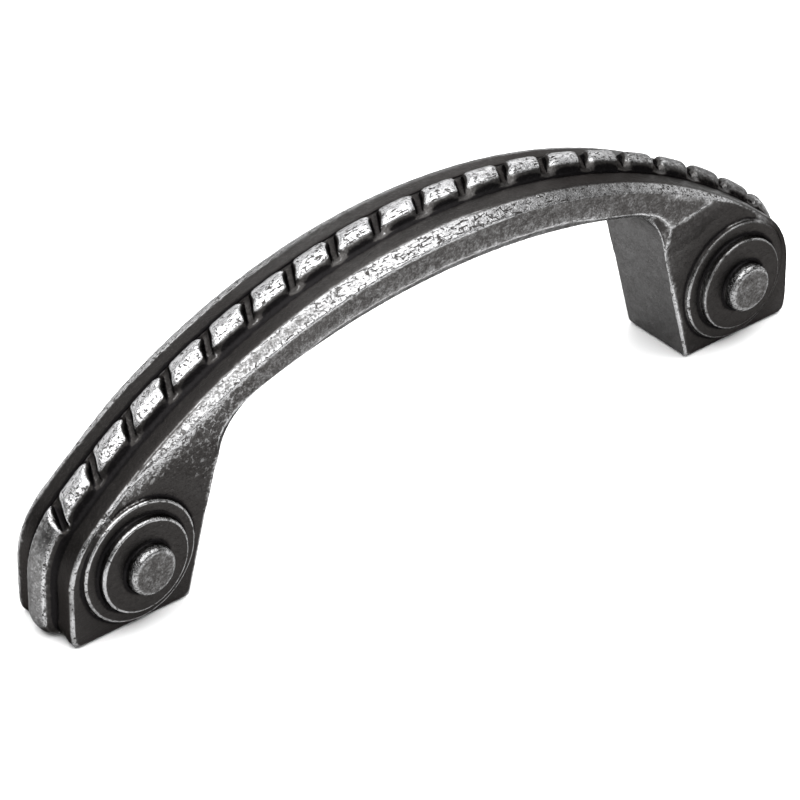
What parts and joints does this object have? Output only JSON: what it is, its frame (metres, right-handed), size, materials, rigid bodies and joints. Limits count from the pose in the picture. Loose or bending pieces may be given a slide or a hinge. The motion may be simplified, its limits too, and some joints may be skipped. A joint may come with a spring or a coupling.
{
  "type": "arch pull",
  "caption": "Arched cabinet pull cast in one piece, with a rope bead along the back and stepped round bosses on both sides of its feet, screwed on from behind.",
  "frame": {"origin": "midway between the two screw holes, on the plane of the feet that lies against the drawer front", "axes": "+X along the pull from foot to foot, +Y across it, +Z away from the drawer front"},
  "size_m": [0.0944, 0.0146, 0.0304],
  "materials": {
    "pewter": "antique pewter over a zinc casting: dark in the hollows, rubbed bright on the edges and the rope"
  },
  "bodies": {
    "root": {"arch_pull": "pewter"}
  },
  "joints": []
}
